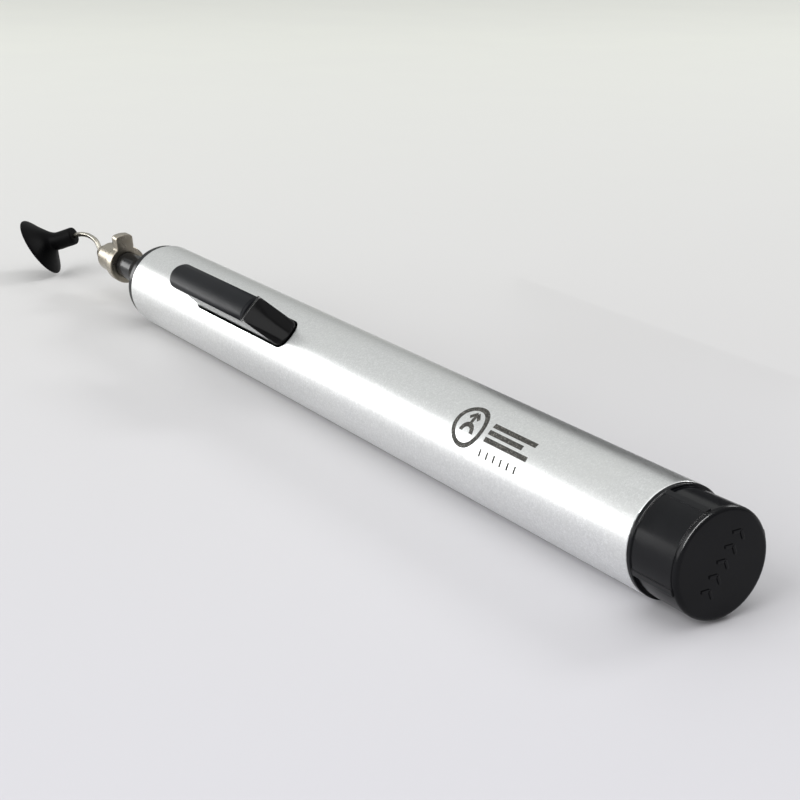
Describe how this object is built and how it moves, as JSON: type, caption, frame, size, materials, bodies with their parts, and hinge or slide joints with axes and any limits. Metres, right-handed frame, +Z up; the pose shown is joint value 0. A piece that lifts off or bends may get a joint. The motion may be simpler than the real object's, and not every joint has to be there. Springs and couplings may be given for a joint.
{
  "type": "vacuum pick-up pen",
  "caption": "Pen-shaped hand vacuum tool: aluminium barrel, press lever over a bladder, black end cap, bent needle and soft suction cup, lying at rest.",
  "frame": {"origin": "centre of the rear cap's flat end face, on the pen's axis", "axes": "+X along the pen towards the needle, +Z up from the bench the pen lies on (the bench is at Z = -7 mm); the pen lies rolled by 46 degrees about X so that the lever points to +Y and +Z"},
  "size_m": [0.1929, 0.0176, 0.0168],
  "materials": {
    "anodised_aluminium": "satin bead-blasted and anodised, fine sparkle",
    "black_plastic": "satin moulded",
    "lever_plastic": "high gloss",
    "pad_plastic": "fine matt texture",
    "inner_plastic": "plain moulded acetal",
    "black_rubber": "nitrile rubber",
    "silicone": "translucent silicone",
    "spring_steel": "bright drawn",
    "nickel": "nickel plated brass",
    "hub_nickel": "nickel plated brass, slightly dull",
    "needle_steel": "drawn stainless tube",
    "cup_rubber": "smooth conductive rubber"
  },
  "bodies": {
    "pen_body": {"barrel": "anodised_aluminium", "spacer_tube": "inner_plastic", "lever_carrier": "inner_plastic", "pivot_pin": "spring_steel", "return_spring": "spring_steel", "bladder": "silicone", "bladder_stopper": "black_rubber", "rear_clamp_ring": "spring_steel", "front_clamp_ring": "spring_steel", "front_plug": "black_plastic", "front_o_ring": "black_rubber", "nozzle_washer": "spring_steel", "nozzle_nut": "nickel", "nozzle": "black_plastic", "tip_seal": "black_rubber"},
    "lever": {"press_lever": "lever_plastic", "finger_pad": "pad_plastic", "presser_foot": "inner_plastic"},
    "needle": {"needle_hub": "hub_nickel", "needle_tube": "needle_steel"},
    "cup": {"suction_cup": "cup_rubber"},
    "cap": {"rear_cap": "black_plastic", "cap_o_ring": "black_rubber"}
  },
  "joints": [
    {"name": "lever_press", "type": "hinge", "parent": "pen_body", "child": "lever", "pos_m": [0.0915, 0.00173, 0.00167], "axis": [0, 0.6947, -0.7193], "range_deg": [0, 5.8], "stiffness_Nm_per_rad": 0.15, "springref_deg": -2.86, "deforming": ["bladder", "return_spring"]},
    {"name": "needle_swivel", "type": "hinge", "parent": "pen_body", "child": "needle", "pos_m": [0.1635, 0, 0], "axis": [1, 0, 0], "continuous": true},
    {"name": "cup_pull", "type": "slide", "parent": "needle", "child": "cup", "axis": [0.6876, 0.6346, -0.3528], "range_m": [0, 0.006]},
    {"name": "cap_pull", "type": "slide", "parent": "pen_body", "child": "cap", "axis": [-1, 0, 0], "range_m": [0, 0.0155]}
  ]
}
